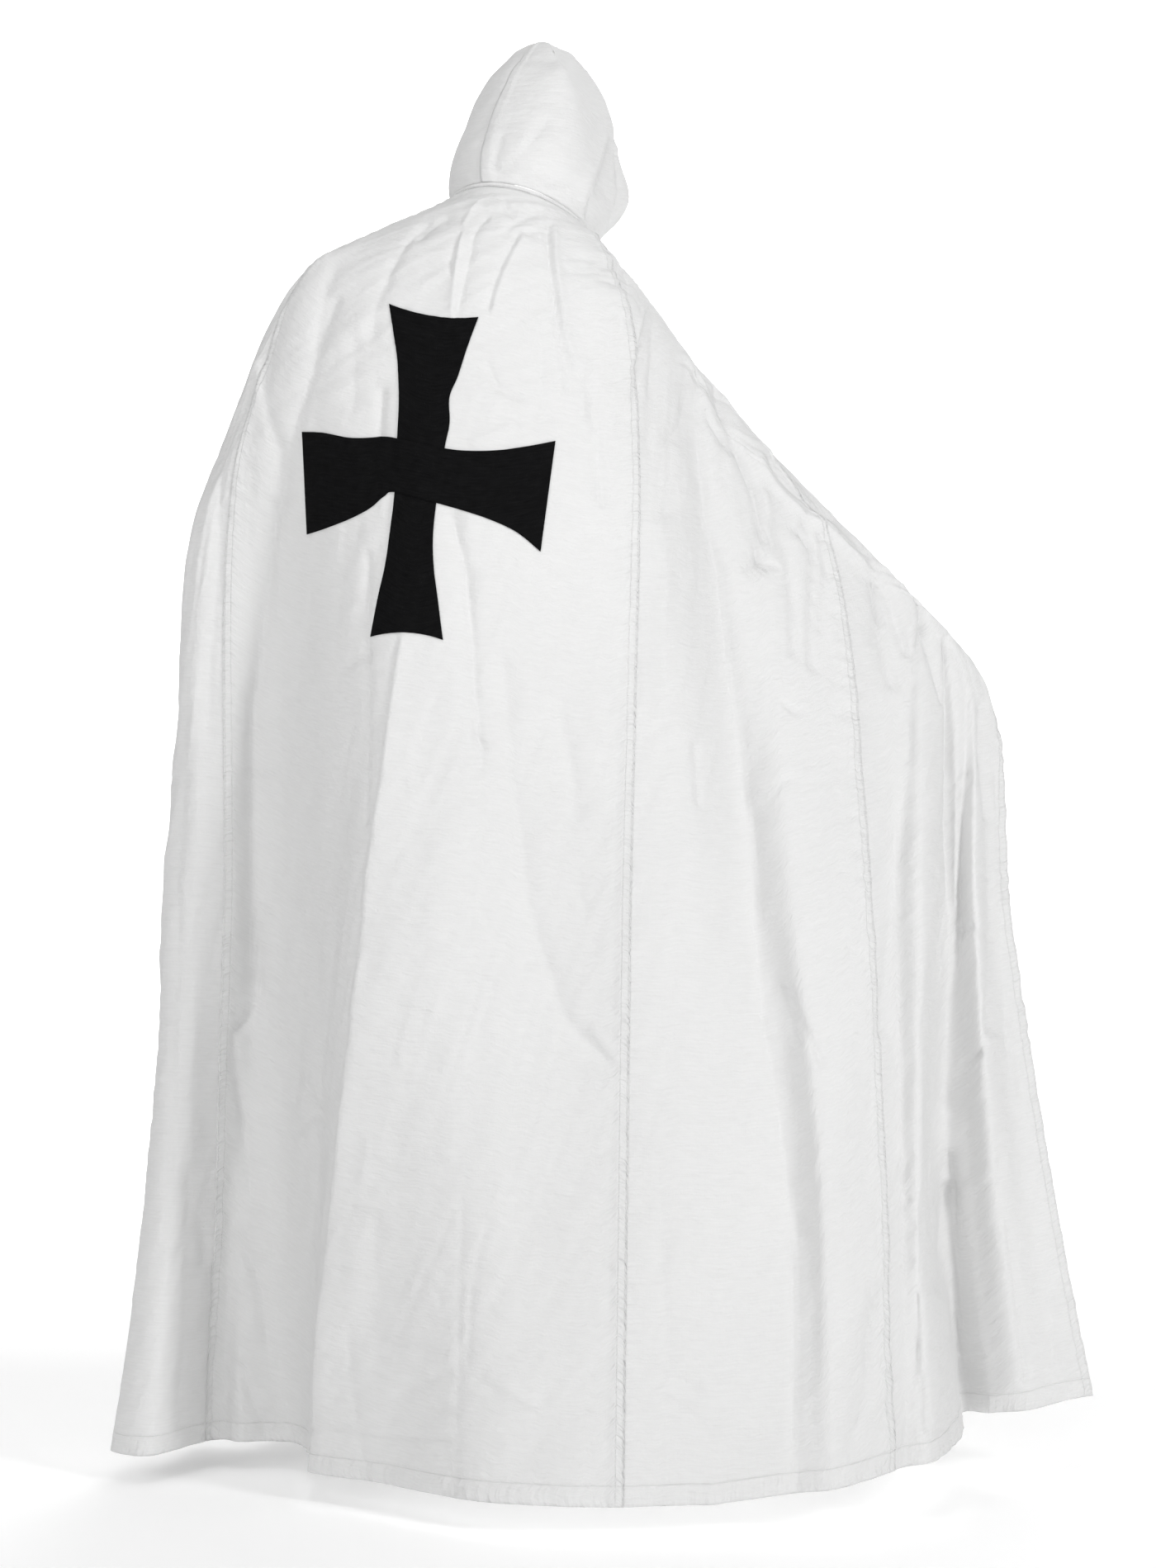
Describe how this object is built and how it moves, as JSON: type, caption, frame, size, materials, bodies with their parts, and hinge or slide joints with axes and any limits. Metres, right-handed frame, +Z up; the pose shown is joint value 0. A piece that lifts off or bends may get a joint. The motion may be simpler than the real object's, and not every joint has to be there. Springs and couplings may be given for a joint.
{
  "type": "hooded cape",
  "caption": "Full-length hooded cape of white cotton, open at the front, with a black cross on its back; worn, hood up, spread by the right arm.",
  "frame": {"origin": "middle of the neck ring, where the wearer's neck and shoulders hold the cape", "axes": "+Z up, +Y to the wearer's back, +X to the wearer's left"},
  "size_m": [1.2549, 0.6948, 1.8033],
  "materials": {
    "white_cotton": "matte",
    "black_cotton": "matte",
    "steel_wire": "satin"
  },
  "bodies": {
    "root": {"back_panel": "white_cotton", "left_side_panel": "white_cotton", "left_front_panel": "white_cotton", "right_side_panel": "white_cotton", "right_front_panel": "white_cotton", "hood_left": "white_cotton", "hood_right": "white_cotton", "neck_roll": "white_cotton", "cross_upright": "black_cotton", "cross_bar": "black_cotton", "throat_hook": "steel_wire", "throat_eye": "steel_wire"}
  },
  "joints": []
}
